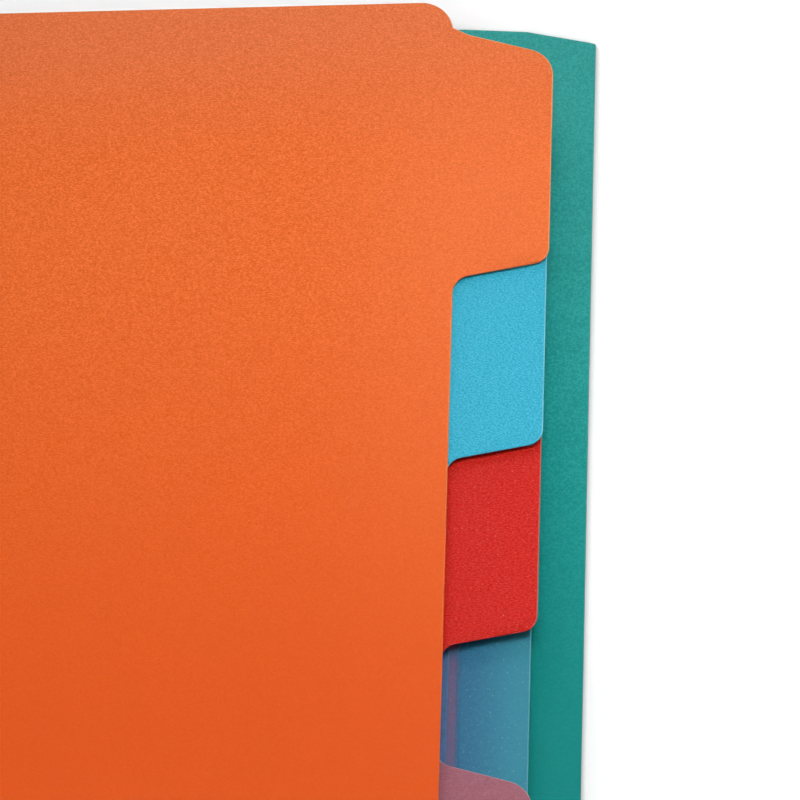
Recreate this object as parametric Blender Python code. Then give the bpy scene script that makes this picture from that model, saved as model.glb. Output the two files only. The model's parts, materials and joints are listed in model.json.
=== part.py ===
"""An A4 expanding file, lying open on a table with its front cover turned over to the left.

Eight tabbed dividers hang on the inner folds of a pleated spine, which opens like bellows.
The frame has X from the spine to the tabs, Y up the pages and Z up from the table. Its origin is
on the underside of the back cover, below the inner folds and halfway up the pages.
"""

import math

import bmesh
import bpy
from mathutils import Vector

MM = 0.001

# Dividers, measured from the inner fold that carries them
DIVIDER_HEIGHT = 318.6 * MM
DIVIDER_WIDTH = 216 * MM
DIVIDER_THICKNESS = 0.45 * MM
CORNER_RADIUS = 6.3 * MM
CORNER_LEAN = math.radians(12.7)
LEAN_RADIUS = 20 * MM

# Tabs, each a step further down the right-hand edge
TAB_REACH = 17.86 * MM
TAB_BASE = 51.15 * MM
TAB_MARGIN = 6.54 * MM
TAB_HEAD_SLOPE = math.radians(16.1)
TAB_FOOT_SLOPE = math.radians(10.2)
TAB_HEAD_RADIUS = 5.8 * MM
TAB_FOOT_RADIUS = 3.2 * MM
TAB_ROOT_RADIUS = 3.5 * MM

# The notch where the first and the last tab run into the divider's corner
NOTCH_DEPTH = 1.3 * MM
NOTCH_RISE = 1.08 * MM
NOTCH_REACH = 1.7 * MM
NOTCH_RADIUS = 0.3 * MM
NOTCH_SWEEP_RADIUS = 2.8 * MM

# Pleated spine
PLEAT_DEPTH = 12 * MM
PLEAT_THICKNESS = 0.3 * MM
PLEAT_INSET = 2 * MM
FOLD_RADIUS = 0.45 * MM
FOLD_CLEARANCE = 0.3 * MM
HEM_DEPTH = 8 * MM

# As a compartment opens, the dividers fan about a line this far behind the inner folds. Each leaf
# of the pleat then turns on its inner fold about as far as the divider does, and the two outer
# edges stay together.
FAN_RADIUS = 35 * MM

# Cover: back panel, spine panel and front panel
COVER_THICKNESS = 1.0 * MM
COVER_MARGIN = 6.38 * MM
COVER_OVERHANG = 2.21 * MM
COVER_RELIEF_LENGTH = 13.0 * MM
COVER_RELIEF_SLOPE = math.radians(16.4)
COVER_RELIEF_RADIUS = 86 * MM
SPINE_WIDTH = 25 * MM
SPINE_CLEARANCE = 1.55 * MM
CREASE_GAP = 0.4 * MM

# Segments of a rounded corner: the largest turn of one facet
FACET_TURN = math.radians(9)

# How far each sheet lies out of line, to the right
GREEN_LIE = 0 * MM
MAGENTA_LIE = 1.8 * MM
VIOLET_LIE = 0 * MM
BLUE_LIE = -2.52 * MM
PINK_LIE = -1.43 * MM
RED_LIE = -0.96 * MM
CYAN_LIE = -0.53 * MM
ORANGE_LIE = 0 * MM

# How far the top of each sheet lies above what is below it: the cover or the next sheet's top
GREEN_LIFT = 2.0 * MM
MAGENTA_LIFT = 2.0 * MM
VIOLET_LIFT = 2.0 * MM
BLUE_LIFT = 2.0 * MM
PINK_LIFT = 1.6 * MM
RED_LIFT = 2.9 * MM
CYAN_LIFT = 2.1 * MM
ORANGE_LIFT = 1.4 * MM

# Dividers from the bottom of the stack to the top: place of the tab counted from the top, lie,
# lift and material
STACK = (
    (8, GREEN_LIE, GREEN_LIFT, "green_sheet"),
    (7, MAGENTA_LIE, MAGENTA_LIFT, "magenta_film"),
    (6, VIOLET_LIE, VIOLET_LIFT, "violet_sheet"),
    (4, BLUE_LIE, BLUE_LIFT, "blue_film"),
    (5, PINK_LIE, PINK_LIFT, "pink_film"),
    (3, RED_LIE, RED_LIFT, "red_sheet"),
    (2, CYAN_LIE, CYAN_LIFT, "cyan_sheet"),
    (1, ORANGE_LIE, ORANGE_LIFT, "orange_sheet"),
)

# Base colour, alpha and roughness
MATERIALS = {
    "orange_sheet": ((0.84, 0.16, 0.045), 1.0, 0.5),
    "cyan_sheet": ((0.08, 0.47, 0.64), 1.0, 0.5),
    "red_sheet": ((0.61, 0.032, 0.023), 1.0, 0.5),
    "pink_film": ((0.62, 0.16, 0.21), 0.7, 0.4),
    "blue_film": ((0.06, 0.24, 0.42), 0.7, 0.4),
    "magenta_film": ((0.42, 0.05, 0.17), 0.7, 0.4),
    "violet_sheet": ((0.16, 0.1, 0.42), 1.0, 0.5),
    "green_sheet": ((0.15, 0.45, 0.08), 1.0, 0.5),
    "pleat_teal": ((0.02, 0.25, 0.22), 1.0, 0.5),
    "cover_teal": ((0.02, 0.28, 0.24), 1.0, 0.45),
}

TAB_PITCH = (DIVIDER_HEIGHT - 2 * TAB_MARGIN - TAB_BASE) / (len(STACK) - 1)
FOLD_OFFSET = (DIVIDER_THICKNESS + PLEAT_THICKNESS) / 2
HEM_HALF = FOLD_OFFSET + PLEAT_THICKNESS / 2
BASE_STRIP = PLEAT_THICKNESS + FOLD_CLEARANCE
PLEAT_HEIGHT = DIVIDER_HEIGHT - 2 * PLEAT_INSET
CREASE_X = PLEAT_DEPTH + FOLD_RADIUS + SPINE_CLEARANCE
COVER_HALF_HEIGHT = DIVIDER_HEIGHT / 2 + COVER_OVERHANG
COVER_EDGE = DIVIDER_WIDTH + TAB_REACH + COVER_MARGIN
NOTCH_MARGIN = TAB_MARGIN - NOTCH_RISE
CORNER_INSET = NOTCH_DEPTH + NOTCH_MARGIN * math.tan(CORNER_LEAN)


def clear_scene():
    for obj in list(bpy.data.objects):
        bpy.data.objects.remove(obj, do_unlink=True)


def new_collection(name):
    collection = bpy.data.collections.new(name)
    bpy.context.scene.collection.children.link(collection)
    return collection


def new_material(name):
    color, alpha, roughness = MATERIALS[name]
    material = bpy.data.materials.new(name)
    material.use_nodes = True
    shader = material.node_tree.nodes["Principled BSDF"]
    shader.inputs["Base Color"].default_value = (*color, 1)
    shader.inputs["Alpha"].default_value = alpha
    shader.inputs["Roughness"].default_value = roughness
    shader.inputs["Metallic"].default_value = 0
    return material


def arc(center, radius, start, end):
    """Points from one angle to the other, both included."""
    count = max(1, math.ceil(abs(end - start) / FACET_TURN))
    angles = [start + (end - start) * i / count for i in range(count + 1)]
    return [(center[0] + radius * math.cos(a), center[1] + radius * math.sin(a)) for a in angles]


def rounded(corners):
    """A closed outline from (x, y, radius) corners. A fillet is limited by the sides it runs into."""
    places = [Vector(corner[:2]) for corner in corners]
    count = len(corners)
    outline = []
    for i, (x, y, radius) in enumerate(corners):
        back = places[i - 1] - places[i]
        ahead = places[(i + 1) % count] - places[i]
        turn = math.pi - back.angle(ahead)
        reach = radius * math.tan(turn / 2)
        shortest = min(back.length, ahead.length)
        reach = min(reach, 0.9 * shortest)
        if reach <= 0:
            outline.append((x, y))
            continue
        fillet = reach / math.tan(turn / 2)
        middle = (back.normalized() + ahead.normalized()).normalized()
        center = places[i] + middle * math.hypot(reach, fillet)
        first = places[i] + back.normalized() * reach - center
        last = places[i] + ahead.normalized() * reach - center
        start = math.atan2(first.y, first.x)
        sweep = math.remainder(math.atan2(last.y, last.x) - start, 2 * math.pi)
        outline += arc(center, fillet, start, start + sweep)
    return outline


def flat_curve(name, outline, thickness, material, collection):
    """A closed outline in the object's own XY plane, filled and given its thickness."""
    curve = bpy.data.curves.new(name, "CURVE")
    curve.dimensions = "2D"
    curve.fill_mode = "BOTH"
    curve.extrude = thickness / 2
    spline = curve.splines.new("POLY")
    spline.points.add(len(outline) - 1)
    for point, (x, y) in zip(spline.points, outline):
        point.co = (x, y, 0, 1)
    spline.use_cyclic_u = True
    curve.materials.append(material)
    obj = bpy.data.objects.new(name, curve)
    collection.objects.link(obj)
    return obj


def place(obj, location, parent=None):
    """Puts an object at a place in the frame, under a parent that isn't turned."""
    obj.location = Vector(location)
    if parent:
        obj.parent = parent
        obj.location -= parent.matrix_world.translation
    bpy.context.view_layer.update()
    return obj


def hinge(name, location, parent, collection):
    """An empty on a line that something turns about. All of these lines run along Y."""
    axis = bpy.data.objects.new(name, None)
    axis.empty_display_size = HEM_DEPTH
    collection.objects.link(axis)
    return place(axis, location, parent)


def strip(name, profile, length, material, collection):
    """A profile in the XZ plane, drawn out along Y on both sides of the origin."""
    obj = flat_curve(name, profile, length, material, collection)
    obj.rotation_euler.x = math.pi / 2
    return obj


def as_mesh(obj):
    """The curve's own shape as a welded mesh, in the same place and under the same parent."""
    bpy.context.view_layer.update()
    evaluated = obj.evaluated_get(bpy.context.evaluated_depsgraph_get())
    mesh = bpy.data.meshes.new_from_object(evaluated)
    shape = bmesh.new()
    shape.from_mesh(mesh)
    bmesh.ops.remove_doubles(shape, verts=shape.verts, dist=0.001 * MM)
    bmesh.ops.recalc_face_normals(shape, faces=shape.faces)
    shape.to_mesh(mesh)
    shape.free()
    name, parent, matrix = obj.name, obj.parent, obj.matrix_world.copy()
    collection = obj.users_collection[0]
    bpy.data.objects.remove(obj, do_unlink=True)
    solid = bpy.data.objects.new(name, mesh)
    mesh.name = name
    collection.objects.link(solid)
    solid.parent = parent
    solid.matrix_world = matrix
    return solid


def unite(obj, other):
    """Joins a second solid to the first. The second stays as a hidden cutter."""
    modifier = obj.modifiers.new(other.name, "BOOLEAN")
    modifier.operation = "UNION"
    modifier.object = other
    other.hide_render = True
    other.display_type = "WIRE"


def body_corner(side, width):
    """The page's corner, top or bottom by side. The edge leans in towards it."""
    top = DIVIDER_HEIGHT / 2
    lean = CORNER_INSET / math.tan(CORNER_LEAN)
    return [
        (width - CORNER_INSET, side * top, CORNER_RADIUS),
        (width, side * (top - lean), LEAN_RADIUS),
    ]


def notch(side, width, tab_end, slope):
    """The page's corner where a tab runs into it, with the sweep out along the tab's sloping end."""
    root_y = DIVIDER_HEIGHT / 2 - NOTCH_MARGIN
    sweep_y = tab_end - side * NOTCH_REACH * math.tan(slope)
    return [
        (width - CORNER_INSET, side * DIVIDER_HEIGHT / 2, CORNER_RADIUS),
        (width - NOTCH_DEPTH, side * root_y, NOTCH_RADIUS),
        (width + NOTCH_REACH, sweep_y, NOTCH_SWEEP_RADIUS),
    ]


def divider_outline(tab_place, lie):
    """A page with one tab. It starts inside the hem, at half the hem's thickness from its nose."""
    top = DIVIDER_HEIGHT / 2
    left = FOLD_CLEARANCE + HEM_HALF
    width = DIVIDER_WIDTH + lie
    edge = width + TAB_REACH
    head = top - TAB_MARGIN - (tab_place - 1) * TAB_PITCH
    foot = head - TAB_BASE
    head_corner = head - TAB_REACH * math.tan(TAB_HEAD_SLOPE)
    foot_corner = foot + TAB_REACH * math.tan(TAB_FOOT_SLOPE)
    lower = [*body_corner(-1, width), (width, foot, TAB_ROOT_RADIUS)]
    upper = [*body_corner(1, width), (width, head, TAB_ROOT_RADIUS)]
    if tab_place == len(STACK):
        lower = notch(-1, width, foot, TAB_FOOT_SLOPE)
    if tab_place == 1:
        upper = notch(1, width, head, TAB_HEAD_SLOPE)
    tab = [(edge, foot_corner, TAB_FOOT_RADIUS), (edge, head_corner, TAB_HEAD_RADIUS)]
    return rounded([(left, -top, 0), *lower, *tab, *reversed(upper), (left, top, 0)])


def make_divider(tab_place, lie, level, material, axis, parts, cutters):
    """A tabbed sheet with the pleat's flaps welded round its edge as a hem. Level is its middle."""
    name = f"divider_{tab_place}"
    outline = divider_outline(tab_place, lie)
    sheet = flat_curve(name, outline, DIVIDER_THICKNESS, material, parts)
    place(sheet, (0, 0, level), axis)
    nose = arc((FOLD_CLEARANCE + HEM_HALF, 0), HEM_HALF, math.pi / 2, 3 * math.pi / 2)
    profile = [(HEM_DEPTH, -HEM_HALF), (HEM_DEPTH, HEM_HALF), *nose]
    hem = strip(f"hem_{tab_place}", profile, PLEAT_HEIGHT, material, cutters)
    place(hem, (0, 0, level))
    unite(as_mesh(sheet), as_mesh(hem))


def make_pleat(tab_place, low, high, carrier, divider_axis, material, parts, guides):
    """One V of the bellows, from the inner fold at height low up to the one at height high.

    The lower leaf turns on what is below and ends in the rounded outer fold. The upper leaf turns
    on the divider above, and its outer edge follows the fold at a clearance.
    """
    half = (high - low) / 2
    middle = (high + low) / 2
    depth = math.sqrt(PLEAT_DEPTH**2 - half**2)
    thick = PLEAT_THICKNESS / 2
    bend = FOLD_RADIUS - PLEAT_THICKNESS
    start = math.asin(bend / FOLD_RADIUS)
    nose = arc((-depth, 0), FOLD_RADIUS, -start, 3 * math.pi / 2)
    lower_profile = [(-FOLD_CLEARANCE, -half - thick), (-FOLD_CLEARANCE, -half + thick), *nose]
    outer_end = -depth + FOLD_RADIUS + FOLD_CLEARANCE
    upper_profile = [
        (outer_end, bend),
        (-FOLD_CLEARANCE, half - thick),
        (-FOLD_CLEARANCE, half + thick),
        (outer_end, FOLD_RADIUS),
    ]
    name = f"pleat_{tab_place}"
    low_fold = hinge(f"{name}_lower_axis", (0, 0, low), carrier, guides)
    high_fold = hinge(f"{name}_upper_axis", (0, 0, high), divider_axis, guides)
    lower = strip(f"{name}_lower", lower_profile, PLEAT_HEIGHT, material, parts)
    place(lower, (0, 0, middle), low_fold)
    upper = strip(f"{name}_upper", upper_profile, PLEAT_HEIGHT, material, parts)
    place(upper, (0, 0, middle), high_fold)


def cover_outline(hinge_x, edge_x):
    """A cover panel from its crease to its free edge, whose two corners fall back a little."""
    side = math.copysign(1, edge_x - hinge_x)
    relief_x = edge_x - side * COVER_RELIEF_LENGTH
    relief_y = COVER_HALF_HEIGHT - COVER_RELIEF_LENGTH * math.tan(COVER_RELIEF_SLOPE)
    upper = [
        (edge_x, relief_y, 0),
        (relief_x, COVER_HALF_HEIGHT, COVER_RELIEF_RADIUS),
        (hinge_x, COVER_HALF_HEIGHT, 0),
    ]
    lower = [(x, -y, radius) for x, y, radius in reversed(upper)]
    return rounded(lower + upper)


def make_back_cover(material, parts, cutters):
    """The panel on the table, with the strip that holds the pleats' lowest flap."""
    outline = cover_outline(-CREASE_X + CREASE_GAP / 2, COVER_EDGE)
    panel = flat_curve("back_cover", outline, COVER_THICKNESS, material, parts)
    place(panel, (0, 0, COVER_THICKNESS / 2))
    profile = rounded([
        (FOLD_CLEARANCE, -COVER_THICKNESS / 2, 0),
        (HEM_DEPTH, -COVER_THICKNESS / 2, 0),
        (HEM_DEPTH, BASE_STRIP, 0),
        (FOLD_CLEARANCE, BASE_STRIP, PLEAT_THICKNESS),
    ])
    flap = strip("base_strip", profile, PLEAT_HEIGHT, material, cutters)
    place(flap, (0, 0, COVER_THICKNESS))
    panel = as_mesh(panel)
    unite(panel, as_mesh(flap))
    return panel


def make_turned_panels(back_cover, material, parts, guides):
    """The spine panel and the front cover, creased on their upper side, which is the inner one."""
    first_x = -CREASE_X
    second_x = first_x - SPINE_WIDTH
    free_x = second_x - (COVER_EDGE + CREASE_X)
    spine_axis = hinge("spine_panel_axis", (first_x, 0, COVER_THICKNESS), back_cover, guides)
    front_axis = hinge("front_cover_axis", (second_x, 0, COVER_THICKNESS), spine_axis, guides)
    left = second_x + CREASE_GAP / 2
    right = first_x - CREASE_GAP / 2
    outline = rounded([
        (left, -COVER_HALF_HEIGHT, 0),
        (right, -COVER_HALF_HEIGHT, 0),
        (right, COVER_HALF_HEIGHT, 0),
        (left, COVER_HALF_HEIGHT, 0),
    ])
    spine = flat_curve("spine_panel", outline, COVER_THICKNESS, material, parts)
    place(spine, (0, 0, COVER_THICKNESS / 2), spine_axis)
    outline = cover_outline(second_x - CREASE_GAP / 2, free_x)
    front = flat_curve("front_cover", outline, COVER_THICKNESS, material, parts)
    place(front, (0, 0, COVER_THICKNESS / 2), front_axis)


def main():
    clear_scene()
    parts = new_collection("expanding_file")
    cutters = new_collection("cutters")
    guides = new_collection("fold_lines")
    materials = {name: new_material(name) for name in MATERIALS}
    carrier = make_back_cover(materials["cover_teal"], parts, cutters)
    make_turned_panels(carrier, materials["cover_teal"], parts, guides)
    low = COVER_THICKNESS + BASE_STRIP - PLEAT_THICKNESS / 2
    level = COVER_THICKNESS - DIVIDER_THICKNESS / 2
    for tab_place, lie, lift, material in STACK:
        level += lift
        high = level - FOLD_OFFSET
        name = f"divider_{tab_place}_axis"
        axis = hinge(name, (-FAN_RADIUS, 0, (low + high) / 2), carrier, guides)
        make_pleat(tab_place, low, high, carrier, axis, materials["pleat_teal"], parts, guides)
        make_divider(tab_place, lie, level, materials[material], axis, parts, cutters)
        carrier = axis
        low = level + FOLD_OFFSET
    bpy.context.view_layer.update()


main()
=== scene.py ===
"""Looks of an A4 expanding file that lies open on a table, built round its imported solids."""

import json
import math

import bmesh
import bpy
from mathutils import Matrix, Vector


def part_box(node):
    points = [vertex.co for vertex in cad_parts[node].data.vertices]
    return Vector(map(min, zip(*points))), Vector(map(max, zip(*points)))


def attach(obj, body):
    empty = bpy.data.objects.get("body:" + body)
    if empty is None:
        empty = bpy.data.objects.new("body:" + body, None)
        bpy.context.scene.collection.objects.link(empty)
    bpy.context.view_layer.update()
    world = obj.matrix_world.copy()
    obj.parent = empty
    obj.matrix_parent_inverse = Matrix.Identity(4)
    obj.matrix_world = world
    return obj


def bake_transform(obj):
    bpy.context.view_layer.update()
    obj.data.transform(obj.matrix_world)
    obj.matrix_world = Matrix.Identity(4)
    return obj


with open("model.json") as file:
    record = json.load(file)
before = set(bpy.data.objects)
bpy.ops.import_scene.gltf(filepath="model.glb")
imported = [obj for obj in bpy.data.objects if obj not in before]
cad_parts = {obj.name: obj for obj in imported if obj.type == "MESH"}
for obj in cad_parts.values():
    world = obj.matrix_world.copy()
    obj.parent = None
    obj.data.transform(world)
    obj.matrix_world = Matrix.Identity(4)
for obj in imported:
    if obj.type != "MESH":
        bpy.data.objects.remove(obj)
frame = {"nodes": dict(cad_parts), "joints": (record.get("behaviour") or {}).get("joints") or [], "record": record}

MM = 0.001
HALF = 0.5
FULL_TURN = 2 * math.pi
WHITE = (1, 1, 1, 1)
BLACK = (0, 0, 0, 1)

# The camera, over the file's top right-hand corner
VIEW_TILT = math.radians(25)
VIEW_TURN = math.radians(15.37)
VIEW_ROLL = math.radians(1.755)
VIEW_TARGET = Vector((204.682 * MM, 84.588 * MM, 0))
VIEW_DISTANCE = 1500 * MM
FOCAL_PIXELS = 8006.4
FRAME_PIXELS = 800
SENSOR = 36
CLIP_NEAR = 10 * MM
CLIP_FAR = 50

# Places of a colour mix node's sockets
MIX_FIRST = 6
MIX_SECOND = 7
MIX_RESULT = 2

# The spine's and the cover's colours
TEAL = (0.004, 0.326, 0.296)
# The cover's cut edge with its painted highlight
TEAL_EDGE_HIGHLIGHT = (0.06, 0.33, 0.295)
# The colour of the cover's painted shade towards its bottom
TEAL_LOW_SHADE = (0.0, 0.248, 0.226)
# The colour of the cover's painted sheen at its top
TEAL_SHEEN = (0.2, 0.34, 0.33)

# Gloss of the polypropylene
PLASTIC_IOR = 1.49
SHEET_ROUGHNESS = 0.3
SHEET_SPECULAR = 0.135
FILM_SPECULAR = 0.2
COVER_ROUGHNESS = 0.4
COVER_SPECULAR = 0.14
STRIP_ROUGHNESS = 0.45

# The sand grain of the pages. A pair is where a smooth step starts and ends
GRAIN_SIZE = 0.3 * MM
GRAIN_STRETCH = (0.78, 1.75, 1.0)
GRAIN_DEPTH = 0.07 * MM
GRAIN_ROUGHNESS = 0.55
GRAIN_SWIRL = 0.6
GRAIN_CREST = (0.34, 0.7)
# Painted shade in the grain's hollows and painted sheen on its crests
PLAIN_CONTRAST = 0.08
PLAIN_CREST_SHEEN = 0.014
PLAIN_SPECKLE = 0.1

# Pale specks in the grain: painted glints
SPECK_SIZE = 0.45 * MM
SPECK_WEIGHT = 0.6
SPECK_RISE = (0.6, 0.72)
SPECK_TONE = 0.8
SPECK_WHITE = 0.25

# Cut edges, with a painted highlight where they face the tabs' side or the top
EDGE_BEVEL = 0.18 * MM
EDGE_UPRIGHT = (0.985, 0.94)
HIGHLIGHT_TO_TABS = 0.6
HIGHLIGHT_TO_TOP = 0.8
HIGHLIGHT_FACING = (-0.05, 0.15)

# The spine's flaps, welded over the pages' inner ends
HEM_DEPTH = 8 * MM
HEM_BLUR = 0.15 * MM
HEM_TONE = 0.9

# Painted light: shade towards the bottom, sheen at the top, and sheen where a page reaches out
LOW_SHADE_BELOW = 5 * MM
LOW_SHADE_KEEPS = 0.15
SHEEN_TO = 160 * MM
PAGE_UNSHADED_ABOVE = 130 * MM
PAGE_SHEEN_FROM = 125 * MM
PAGE_SHEEN_SHARE = 0.12
PAGE_SHEEN = (0.47, 0.35, 0.26)
# Painted sheen and light on the page's right side, below its tab
SIDE_SHEEN_ACROSS = (185 * MM, 220 * MM)
SIDE_SHEEN_BELOW = (160 * MM, 120 * MM)
SIDE_SHEEN_SHARE = 0.3
SIDE_SHEEN_TONE = 1.07
SIDE_SHEEN_WHITE = 0.06

# Frosted film
FILM_CONTRAST = 0.1
FROST_SIZE = 0.9 * MM
FROST_DETAIL = 3.0
FROST_ROUGHNESS = 0.7
FROST_SWING = 0.25

# The blue film's tab: its colours paint the cover's shade and light seen through it
TAB_FROM = 217.4 * MM
TAB_DENSE = 219.3 * MM
TAB_END = 230 * MM
TAB_OPACITY = 0.97
CLOUD_RISE = (0.3, 0.75)
CLOUD_SHARE = 0.25
CLOUD_TONE = 1.3
NICK_STRETCH = (1.4, 0.7, 1.0)
NICK_RISE = (0.62, 0.74)
NICK_SHARE = 0.3
NICK_COLOR = (0.4, 0.62, 0.72, 1)

# The cover's mottled grain
MOTTLE_SIZE = 0.42 * MM
MOTTLE_ROUGHNESS = 0.6
MOTTLE_CREST = (0.34, 0.66)
MOTTLE_DEPTH = 0.05 * MM
PATCH_SIZE = 9 * MM
PATCH_WEIGHT = 0.15
# Painted shade in the mottle's hollows and painted sheen on its crests
COVER_CONTRAST = 0.12
COVER_CREST_SHEEN = 0.01
# Where the cover's painted sheen at the top begins, and its share
COVER_SHEEN_FROM = 40 * MM
COVER_SHEEN_SHARE = 0.1
COVER_UNSHADED_ABOVE = 95 * MM

# The spine's pleated strip, pale where it is strained along its folds
STRIP_MOTTLE = 0.5 * MM
STRIP_CREST = (0.35, 0.65)
STRIP_DARK = 0.92
STRIP_LIGHT = 1.06
STRIP_DEPTH = 0.008 * MM
INNER_FOLD = (-1.1 * MM, -0.2 * MM)
OUTER_FOLD = (-11.2 * MM, -12.3 * MM)
STRAIN_SHARE = 0.5
STRAIN_TONE = 1.7

# Broken edges of the solids
FACE_JOIN = 0.002 * MM
BEVEL_STEPS = 2
SHARP_ANGLE = math.radians(40)

# Fold webs: what is left of the strip where it bends
WEB_HEIGHT = 316 * MM
WEB_THICKNESS = 0.2 * MM
WEB_REACH = 0.5 * MM
LEAF_REACH = 0.34 * MM
WEB_STEPS = 8

# Crease webs: what is left of the cover where it bends
CREASE_GAP = 0.4 * MM
CREASE_LAP = 0.06 * MM
CREASE_TOP = 0.06 * MM
CREASE_THICKNESS = 0.4 * MM

# Welds along the hems. Foot, shoulder and crown are shares of the weld's width and height
WELD_X = 4.4 * MM
WELD_PITCH = 2.6 * MM
WELD_LENGTH = 1.5 * MM
WELD_WIDTH = 0.9 * MM
WELD_HEIGHT = 0.09 * MM
WELD_MARGIN = 4 * MM
WELD_SIDES = 8
WELD_FOOT = (1, -0.5)
WELD_SHOULDER = (1, 0.2)
WELD_CROWN = (0.62, 1)

# The table top: its whites in the open and in the file's contact shadow
TABLE_HALF = 6.0
TABLE_DROP = 0.05 * MM
TABLE_ROUGHNESS = 0.9
TABLE_WHITE = 0.88
TABLE_SHADED = 0.56
TABLE_GLOW = 0.28
TABLE_DIM = 0.08
TABLE_FAR_GLOW = 0.75
TABLE_FAR = (3 * MM, 60 * MM)
SHADE_SAMPLES = 8
SHADE_REACH = 16 * MM
OPEN_SKY = (0.48, 1.05)

# The studio's walls: how high they stand, and their light and the ceiling's
WALL_TOP = (0.32, 0.46)
WALL_LIGHT = 0.9
CEILING_LIGHT = 0.06

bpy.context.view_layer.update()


class Reading:
    """A socket's value in arithmetic. Each operator adds its Math node to the wiring."""

    def __init__(self, wiring, socket):
        self.wiring = wiring
        self.socket = socket

    def math(self, operation, *values):
        return self.wiring.node("ShaderNodeMath", {"operation": operation}, *values)

    def __add__(self, other):
        return self.math("ADD", self, other)

    def __radd__(self, other):
        return self.math("ADD", other, self)

    def __sub__(self, other):
        return self.math("SUBTRACT", self, other)

    def __rsub__(self, other):
        return self.math("SUBTRACT", other, self)

    def __mul__(self, other):
        return self.math("MULTIPLY", self, other)

    def __rmul__(self, other):
        return self.math("MULTIPLY", other, self)

    def __abs__(self):
        return self.math("ABSOLUTE", self)

    def larger(self, other):
        return self.math("MAXIMUM", self, other)


class Wiring:
    """The nodes of a material or of the studio's walls, and the shader that they feed."""

    def __init__(self, owner, shader):
        owner.use_nodes = True
        self.tree = owner.node_tree
        self.shader = self.tree.nodes[shader]

    def put(self, socket, value):
        if isinstance(value, Reading):
            self.tree.links.new(value.socket, socket)
        else:
            socket.default_value = value

    def node(self, kind, settings, *values, outlet=0, **named):
        """Adds a node: its settings first, then its sockets by place or by name."""
        made = self.tree.nodes.new(kind)
        for setting, value in settings.items():
            setattr(made, setting, value)
        for socket, value in zip(made.inputs, values):
            self.put(socket, value)
        for name, value in named.items():
            self.put(made.inputs[name.replace("_", " ")], value)
        return Reading(self, made.outputs[outlet])

    def feed(self, **named):
        for name, value in named.items():
            self.put(self.shader.inputs[name.replace("_", " ")], value)

    def axis(self, vector, letter):
        return self.node("ShaderNodeSeparateXYZ", {}, vector, outlet=letter)

    def rise(self, value, start, end, low=0.0, high=1.0):
        """A smooth step from low to high, while the value goes from start to end."""
        smooth = {"interpolation_type": "SMOOTHSTEP"}
        return self.node("ShaderNodeMapRange", smooth, value, start, end, low, high)

    def in_view(self):
        """1 to rays that show the background: straight, in a gloss or through glass."""
        straight, gloss, glass = (
            self.node("ShaderNodeLightPath", {}, outlet=ray)
            for ray in ("Is Camera Ray", "Is Glossy Ray", "Is Transmission Ray")
        )
        return straight.larger(gloss).larger(glass)


class Finish(Wiring):
    """A procedural material with one Principled shader."""

    def __init__(self, name, **constants):
        self.material = bpy.data.materials.new(name)
        super().__init__(self.material, "Principled BSDF")
        self.place = self.node("ShaderNodeTexCoord", {}, outlet="Object")
        self.facing = self.node("ShaderNodeTexCoord", {}, outlet="Normal")
        self.feed(**constants)

    def noise(self, size, detail=2.0, roughness=0.5, distortion=0.0, stretch=(1.0, 1.0, 1.0)):
        """Noise of about this feature size, as a value between 0 and 1."""
        stretched = self.node(
            "ShaderNodeVectorMath", {"operation": "MULTIPLY"}, self.place, stretch
        )
        return self.node(
            "ShaderNodeTexNoise",
            {"noise_dimensions": "3D"},
            Vector=stretched,
            Scale=1 / size,
            Detail=detail,
            Roughness=roughness,
            Distortion=distortion,
        )

    def mixed(self, share, first, second):
        """A colour between two, by share."""
        blend = self.node("ShaderNodeMix", {"data_type": "RGBA"}, share, outlet=MIX_RESULT)
        sockets = blend.socket.node.inputs
        self.put(sockets[MIX_FIRST], first)
        self.put(sockets[MIX_SECOND], second)
        return blend

    def bump(self, height, distance):
        bumped = self.node("ShaderNodeBump", {}, Height=height, Distance=distance, Strength=1.0)
        self.feed(Normal=bumped)


def grey(level):
    """A plain grey, as an opaque RGBA."""
    return (level, level, level, 1)


def tone(color, factor):
    """The colour made lighter or darker, as an opaque RGBA."""
    return (*(min(1, part * factor) for part in color), 1)


def lifted(color, factor, white):
    """The colour scaled, with some white added or taken away, as an opaque RGBA."""
    return (*(min(1, max(0, part * factor + white)) for part in color), 1)


def embossed(finish, color, contrast, crest_sheen, speckle, coarse=1.0):
    """The sand grain pressed into the plastic, with its bump and its colour between crests and hollows: painted
    shade in the hollows and painted sheen on the crests.
    """
    grain = finish.noise(
        GRAIN_SIZE * coarse,
        roughness=GRAIN_ROUGHNESS,
        distortion=GRAIN_SWIRL,
        stretch=GRAIN_STRETCH,
    )
    crest = finish.rise(grain, *GRAIN_CREST)
    # painted shade in the hollows, painted sheen on the crests
    hollow = lifted(color, 1 - contrast, -crest_sheen)
    shade = finish.mixed(crest, hollow, lifted(color, 1 + contrast, crest_sheen))
    specks = finish.noise(SPECK_SIZE) * SPECK_WEIGHT + grain * (1 - SPECK_WEIGHT)
    # painted glints: pale specks over the grain
    glint = finish.rise(specks, *SPECK_RISE) * speckle
    finish.bump(grain, GRAIN_DEPTH)
    return finish.mixed(glint, shade, lifted(color, SPECK_TONE, SPECK_WHITE))


def painted_low_shade(finish, unshaded, worn, unshaded_above):
    """Painted shade: the colour darker and deeper towards the bottom, with less grain, where the light falls off.
    """
    height = finish.axis(finish.place, "Y")
    kept = finish.rise(height, LOW_SHADE_BELOW, unshaded_above)
    return finish.mixed(kept * (1 - LOW_SHADE_KEEPS) + LOW_SHADE_KEEPS, (*worn, 1), unshaded)


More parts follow.
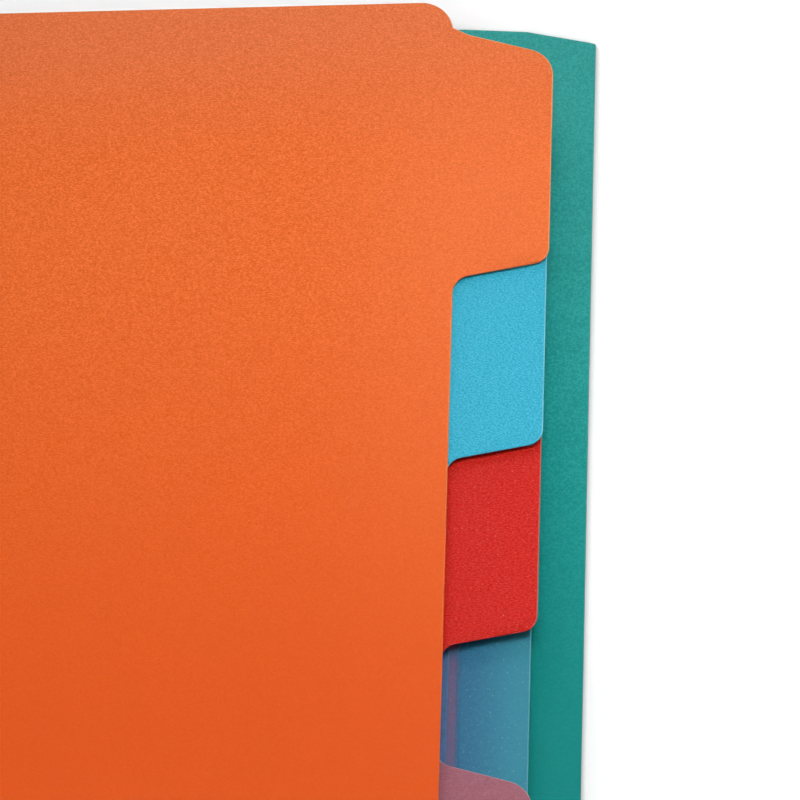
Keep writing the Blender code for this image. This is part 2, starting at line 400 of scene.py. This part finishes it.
def painted_top_sheen(finish, color, sheen, share, sheen_from):
    """Painted sheen: the top of a sheet paler and greyer, standing in for the light's sheen there."""
    height = finish.axis(finish.place, "Y")
    sheened = finish.rise(height, sheen_from, SHEEN_TO) * share
    return finish.mixed(sheened, color, (*sheen, 1))


def painted_side_sheen(finish, body, color):
    """Painted sheen and light: the page paler where it reaches out, below its tab."""
    outward = finish.rise(finish.axis(finish.place, "X"), *SIDE_SHEEN_ACROSS)
    below = finish.rise(finish.axis(finish.place, "Y"), *SIDE_SHEEN_BELOW)
    pale = lifted(color, SIDE_SHEEN_TONE, SIDE_SHEEN_WHITE)
    return finish.mixed(outward * below * SIDE_SHEEN_SHARE, body, pale)


def with_edge_highlight(finish, color, edge):
    """The cut edge, lighter where it faces the tabs' side or the top: a painted highlight over the plastic's paler
    cut.
    """
    upright = abs(finish.axis(finish.facing, "Z"))
    cut = finish.rise(upright, *EDGE_UPRIGHT)
    to_tabs = finish.axis(finish.facing, "X") * HIGHLIGHT_TO_TABS
    to_top = finish.axis(finish.facing, "Y") * HIGHLIGHT_TO_TOP
    # painted highlight: only edges facing +X and +Y, towards the lamps, get the pale colour
    side = finish.rise(to_tabs + to_top, *HIGHLIGHT_FACING)
    return finish.mixed(cut * side, color, (*edge, 1))


def with_hem(finish, color):
    """The spine's flap, in the spine's colour, which is welded over the sheet's end."""
    across = finish.axis(finish.place, "X")
    inside = finish.rise(across, HEM_DEPTH + HEM_BLUR, HEM_DEPTH - HEM_BLUR)
    return finish.mixed(inside, color, tone(TEAL, HEM_TONE)), inside


def opaque_sheet(
    name,
    color,
    edge,
    contrast=PLAIN_CONTRAST,
    crest_sheen=PLAIN_CREST_SHEEN,
    speckle=PLAIN_SPECKLE,
    coarse=1.0,
    worn=None,
):
    """A page's plastic. The page on top also gets painted shade towards its bottom, painted sheen at its top and
    painted sheen where it reaches out.
    """
    finish = Finish(
        name,
        Roughness=SHEET_ROUGHNESS,
        IOR=PLASTIC_IOR,
        Specular_IOR_Level=SHEET_SPECULAR,
    )
    body = with_edge_highlight(finish, embossed(finish, color, contrast, crest_sheen, speckle, coarse), edge)
    if worn:
        # painted sheen where the page reaches out
        body = painted_side_sheen(finish, body, color)
        # painted sheen at the top of the page
        body = painted_top_sheen(finish, body, PAGE_SHEEN, PAGE_SHEEN_SHARE, PAGE_SHEEN_FROM)
        # painted shade: darker towards the bottom of the page
        body = painted_low_shade(finish, body, worn, PAGE_UNSHADED_ABOVE)
    body, _ = with_hem(finish, body)
    finish.feed(Base_Color=body)
    return finish.material


def film(name, color, edge, opacity, tab_shaded=None, tab_lit=None):
    """Frosted film, through which the sheets underneath show."""
    finish = Finish(
        name,
        Roughness=SHEET_ROUGHNESS,
        IOR=PLASTIC_IOR,
        Specular_IOR_Level=FILM_SPECULAR,
    )
    body = embossed(finish, color, FILM_CONTRAST, PLAIN_CREST_SHEEN, PLAIN_SPECKLE)
    frost = finish.noise(FROST_SIZE, detail=FROST_DETAIL, roughness=FROST_ROUGHNESS)
    clear = opacity + (frost - HALF) * FROST_SWING
    # painted shade and light of what lies under the tab
    if tab_shaded:
        body, firm = with_tab(finish, body, frost, tab_shaded, tab_lit)
        clear = clear + (TAB_OPACITY - clear) * firm
    body, hemmed = with_hem(finish, with_edge_highlight(finish, body, edge))
    finish.feed(Base_Color=body, Alpha=clear + (1 - clear) * hemmed)
    return finish.material


def with_tab(finish, body, frost, near, far):
    """The film's tab: opaque, with the cover's shade and light under it painted in, darker near the pages and
    paler towards its end.
    """
    across = finish.axis(finish.place, "X")
    firm = finish.rise(across, TAB_FROM, TAB_DENSE)
    shade = finish.mixed(finish.rise(across, TAB_DENSE, TAB_END), (*near, 1), (*far, 1))
    cloud = finish.rise(frost, *CLOUD_RISE)
    shade = finish.mixed(cloud * CLOUD_SHARE, shade, lifted(far, CLOUD_TONE, 0))
    nick = finish.rise(finish.noise(SPECK_SIZE, stretch=NICK_STRETCH), *NICK_RISE)
    shade = finish.mixed(nick * NICK_SHARE, shade, NICK_COLOR)
    return finish.mixed(firm, body, shade), firm


def cover_plastic(name, color, edge, worn):
    """The cover's plastic: thicker, with a fine mottled grain."""
    finish = Finish(
        name,
        Roughness=COVER_ROUGHNESS,
        IOR=PLASTIC_IOR,
        Specular_IOR_Level=COVER_SPECULAR,
    )
    mottle = finish.noise(MOTTLE_SIZE, roughness=MOTTLE_ROUGHNESS)
    patches = finish.noise(PATCH_SIZE)
    uneven = mottle * (1 - PATCH_WEIGHT) + patches * PATCH_WEIGHT
    crest = finish.rise(uneven, *MOTTLE_CREST)
    # painted shade in the hollows, painted sheen on the crests
    hollow = lifted(color, 1 - COVER_CONTRAST, -COVER_CREST_SHEEN)
    shade = finish.mixed(crest, hollow, lifted(color, 1 + COVER_CONTRAST, COVER_CREST_SHEEN))
    # painted sheen at the top of the cover
    shade = painted_top_sheen(finish, shade, TEAL_SHEEN, COVER_SHEEN_SHARE, COVER_SHEEN_FROM)
    shade = with_edge_highlight(finish, shade, edge)
    finish.bump(mottle, MOTTLE_DEPTH)
    # painted shade: darker towards the bottom of the cover
    finish.feed(Base_Color=painted_low_shade(finish, shade, worn, COVER_UNSHADED_ABOVE))
    return finish.material


def pleat_plastic(name, color):
    """The spine's thin strip: smooth plastic, a little paler along its folds."""
    finish = Finish(name, Roughness=STRIP_ROUGHNESS, IOR=PLASTIC_IOR)
    mottle = finish.noise(STRIP_MOTTLE)
    crest = finish.rise(mottle, *STRIP_CREST)
    shade = finish.mixed(crest, tone(color, STRIP_DARK), tone(color, STRIP_LIGHT))
    across = finish.axis(finish.place, "X")
    folded = finish.rise(across, *INNER_FOLD) + finish.rise(across, *OUTER_FOLD)
    strained = folded * (HALF + mottle * HALF) * STRAIN_SHARE
    finish.bump(mottle, STRIP_DEPTH)
    finish.feed(Base_Color=finish.mixed(strained, shade, tone(color, STRAIN_TONE)))
    return finish.material


MATERIALS = {
    "orange_sheet": opaque_sheet(
        "orange_polypropylene",
        color=(0.89, 0.163, 0.014),
        edge=(0.85, 0.36, 0.15),
        contrast=0.095,
        crest_sheen=0.036,
        # the orange's painted shade towards the bottom
        worn=(0.81, 0.086, 0.0),
    ),
    "cyan_sheet": opaque_sheet(
        "cyan_polypropylene",
        color=(0.05, 0.475, 0.665),
        edge=(0.17, 0.54, 0.68),
        contrast=0.12,
        crest_sheen=0.033,
    ),
    "red_sheet": opaque_sheet(
        "red_polypropylene",
        color=(0.65, 0.017, 0.003),
        edge=(0.48, 0.15, 0.12),
        speckle=0.45,
        coarse=1.25,
    ),
    "pink_film": film(
        "pink_film",
        color=(0.47, 0.16, 0.21),
        edge=(0.65, 0.33, 0.36),
        opacity=0.8,
    ),
    "blue_film": film(
        "blue_film",
        color=(0.06, 0.244, 0.468),
        edge=(0.11, 0.37, 0.47),
        opacity=0.36,
        # the painted shade near the pages and the painted light at the tab's end
        tab_shaded=(0.022, 0.15, 0.285),
        tab_lit=(0.032, 0.26, 0.36),
    ),
    "magenta_film": film(
        "magenta_film",
        color=(0.98, 0.05, 0.06),
        edge=(0.85, 0.3, 0.35),
        opacity=0.9,
    ),
    "violet_sheet": opaque_sheet(
        "violet_polypropylene",
        color=(0.37, 0.31, 0.68),
        edge=(0.4, 0.36, 0.6),
    ),
    "green_sheet": opaque_sheet(
        "green_polypropylene",
        color=(0.13, 0.42, 0.07),
        edge=(0.35, 0.6, 0.25),
    ),
    "pleat_teal": pleat_plastic("spine_polypropylene", TEAL),
    "cover_teal": cover_plastic("cover_polypropylene", TEAL, TEAL_EDGE_HIGHLIGHT, TEAL_LOW_SHADE),
}


def placed(name, data):
    """A new object in the scene, with this mesh, lamp or lens."""
    obj = bpy.data.objects.new(name, data)
    bpy.context.scene.collection.objects.link(obj)
    return obj


def soften_edges(obj):
    """Joins the solid's faces, then breaks its sharp edges."""
    join = obj.modifiers.new("joined_faces", "WELD")
    join.merge_threshold = FACE_JOIN
    bevel = obj.modifiers.new("broken_edges", "BEVEL")
    bevel.width = EDGE_BEVEL
    bevel.segments = BEVEL_STEPS
    bevel.limit_method = "ANGLE"
    bevel.angle_limit = SHARP_ANGLE
    bevel.use_clamp_overlap = False


def dress_nodes():
    """Gives each solid its plastic, and all but the thin pleats their broken edges."""
    slots = {part["node"]: part["material_slot"] for part in frame["record"]["subparts"]}
    for name, obj in frame["nodes"].items():
        obj.data.materials.clear()
        obj.data.materials.append(MATERIALS[slots[name]])
        if not name.startswith("pleat"):
            soften_edges(obj)


def new_piece(name, shape, slot):
    """A made piece in one of the file's plastics."""
    mesh = bpy.data.meshes.new(name)
    bmesh.ops.recalc_face_normals(shape, faces=shape.faces)
    shape.to_mesh(mesh)
    shape.free()
    mesh.materials.append(MATERIALS[slot])
    piece = placed(name, mesh)
    return piece


def close_rings(shape, rings):
    """Skins a row of rings of points, and closes both ends."""
    for ring, following in zip(rings, rings[1:]):
        for i in range(len(ring)):
            shape.faces.new((ring[i - 1], ring[i], following[i], following[i - 1]))
    shape.faces.new(rings[0])
    shape.faces.new(rings[-1])


def web_shape(near, far, height, thickness, length):
    """A flat strip from x near to x far, in steps."""
    shape = bmesh.new()
    rings = []
    for i in range(WEB_STEPS + 1):
        x = near + (far - near) * i / WEB_STEPS
        ring = [
            shape.verts.new((x, side * length / 2, height + up * thickness / 2))
            for side, up in ((-1, -1), (1, -1), (1, 1), (-1, 1))
        ]
        rings.append(ring)
    close_rings(shape, rings)
    return shape


def add_fold_webs():
    """The living hinges between each leaf and the hem it folds on."""
    for joint in frame["joints"]:
        if "_fold_" not in joint["name"]:
            continue
        height = joint["pos_m"][2]
        shape = web_shape(WEB_REACH, -LEAF_REACH, height, WEB_THICKNESS, WEB_HEIGHT)
        piece = new_piece(f"{joint['name']}_web", shape, "pleat_teal")
        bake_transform(piece)


def add_crease_webs():
    """The thin plastic left in the cover's two creases."""
    low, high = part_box("spine_panel")
    length = high.y - low.y
    half = CREASE_GAP / 2
    for joint in frame["joints"]:
        if not joint["name"].endswith("_crease"):
            continue
        x, _, z = joint["pos_m"]
        height = z - CREASE_TOP - CREASE_THICKNESS / 2
        near, far = x + half + CREASE_LAP, x - half - CREASE_LAP
        shape = web_shape(near, far, height, CREASE_THICKNESS, length)
        piece = new_piece(f"{joint['name']}_web", shape, "cover_teal")
        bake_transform(piece)


def weld_row(top, length):
    """A row of small pillow-shaped welds, with their feet in the hem."""
    shape = bmesh.new()
    count = int((length - 2 * WELD_MARGIN) / WELD_PITCH)
    for i in range(count):
        y = (i - (count - 1) / 2) * WELD_PITCH
        rings = []
        for breadth, rise in (WELD_FOOT, WELD_SHOULDER, WELD_CROWN):
            ring = []
            for step in range(WELD_SIDES):
                angle = FULL_TURN * (step + HALF) / WELD_SIDES
                across = WELD_X + math.cos(angle) * WELD_WIDTH / 2 * breadth
                along = y + math.sin(angle) * WELD_LENGTH / 2 * breadth
                ring.append(shape.verts.new((across, along, top + WELD_HEIGHT * rise)))
            rings.append(ring)
        close_rings(shape, rings)
    return shape


def add_welds():
    """A row of welds on each page's hem, whose upper face is the page's highest."""
    for name in frame["nodes"]:
        if not name.startswith("divider"):
            continue
        low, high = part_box(name)
        piece = new_piece(f"{name}_welds", weld_row(high.z, high.y - low.y), "pleat_teal")
        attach(piece, name)


def table_finish():
    """White, with a soft contact shadow, and whiter away from the back cover."""
    finish = Finish(
        "white_table_top",
        Roughness=TABLE_ROUGHNESS,
        Specular_IOR_Level=0,
        Emission_Strength=1,
    )
    sky = {"samples": SHADE_SAMPLES}
    open_sky = finish.node("ShaderNodeAmbientOcclusion", sky, outlet="AO", Distance=SHADE_REACH)
    lit = finish.rise(open_sky, *OPEN_SKY)
    finish.feed(Base_Color=finish.mixed(lit, grey(TABLE_SHADED), grey(TABLE_WHITE)))
    low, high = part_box("back_cover")
    across = finish.axis(finish.place, "X") - (low.x + high.x) / 2
    past_side = abs(across) - (high.x - low.x) / 2
    past_end = abs(finish.axis(finish.place, "Y")) - high.y
    far = finish.rise(past_side.larger(past_end), *TABLE_FAR)
    glow = finish.mixed(far, grey(TABLE_GLOW), grey(TABLE_FAR_GLOW))
    glow = finish.mixed(lit, grey(TABLE_DIM), glow)
    finish.feed(Emission_Color=finish.mixed(finish.in_view(), BLACK, glow))
    return finish.material


def add_floor():
    """The table top, which belongs to the stage."""
    mesh = bpy.data.meshes.new("table_top")
    corners = [
        (side * TABLE_HALF, end * TABLE_HALF, -TABLE_DROP)
        for side, end in ((-1, -1), (1, -1), (1, 1), (-1, 1))
    ]
    mesh.from_pydata(corners, [], [range(len(corners))])
    mesh.materials.append(table_finish())
    placed("table_top", mesh)


def add_lamp(name, place, aim, size, power, spread=180):
    """A soft rectangular lamp. Its power is in watts, and its spread in degrees."""
    lamp = bpy.data.lights.new(name, "AREA")
    lamp.shape = "RECTANGLE"
    lamp.size, lamp.size_y = size
    lamp.energy = power
    lamp.spread = math.radians(spread)
    obj = placed(name, lamp)
    obj.location = place
    obj.rotation_euler = (Vector(aim) - Vector(place)).to_track_quat("-Z", "Y").to_euler()


def add_light():
    """Soft lamps over both halves of the open file, a window behind it and two small fills."""
    add_lamp(
        "right_lamp",
        place=(0.42, -0.03, 1.1),
        aim=(0.26, 0.09, 0),
        size=(0.38, 0.38),
        power=0.352,
        spread=27,
    )
    add_lamp(
        "left_lamp",
        place=(-0.2, -0.05, 1.0),
        aim=(-0.2, -0.05, 0),
        size=(0.3, 0.3),
        power=0.33,
        spread=44,
    )
    add_lamp(
        "window_lamp",
        place=(0.13, 0.41, 0.45),
        aim=(0.19, 0.15, 0),
        size=(0.3, 0.12),
        power=0.35,
    )
    add_lamp(
        "side_lamp",
        place=(0.22, 0.33, 0.45),
        aim=(0.24, 0.1, 0),
        size=(0.15, 0.15),
        power=0.087,
    )
    add_lamp(
        "near_lamp",
        place=(0.12, -0.15, 1.1),
        aim=(0.12, -0.15, 0),
        size=(0.15, 0.15),
        power=0.03,
        spread=19,
    )


def add_surround():
    """White walls round the table, brighter than what is overhead, and white behind the view."""
    world = bpy.data.worlds.new("studio")
    bpy.context.scene.world = world
    studio = Wiring(world, "Background")
    direction = studio.node("ShaderNodeTexCoord", {}, outlet="Generated")
    height = studio.axis(direction, "Z")
    light = studio.rise(height, *WALL_TOP, low=WALL_LIGHT, high=CEILING_LIGHT)
    studio.feed(Color=WHITE, Strength=light.larger(studio.in_view()))


def add_camera():
    """The camera looks at the target from a distance, tilted back from the vertical and turned."""
    lean = math.sin(VIEW_TILT)
    back = Vector((lean * math.sin(VIEW_TURN), -lean * math.cos(VIEW_TURN), math.cos(VIEW_TILT)))
    level_up = (Vector((0, 1, 0)) - back * back.y).normalized()
    level_right = level_up.cross(back)
    right = math.cos(VIEW_ROLL) * level_right + math.sin(VIEW_ROLL) * level_up
    up = -math.sin(VIEW_ROLL) * level_right + math.cos(VIEW_ROLL) * level_up
    lens = bpy.data.cameras.new("camera")
    lens.sensor_width = SENSOR
    lens.lens = FOCAL_PIXELS / FRAME_PIXELS * SENSOR
    lens.clip_start = CLIP_NEAR
    lens.clip_end = CLIP_FAR
    camera = placed("camera", lens)
    turned = Matrix((right, up, back)).transposed()
    camera.matrix_world = Matrix.Translation(VIEW_TARGET + VIEW_DISTANCE * back) @ turned.to_4x4()
    bpy.context.scene.camera = camera


add_camera()
dress_nodes()
add_fold_webs()
add_crease_webs()
add_welds()
add_floor()
add_light()
add_surround()
bpy.context.scene.view_settings.view_transform = "Standard"
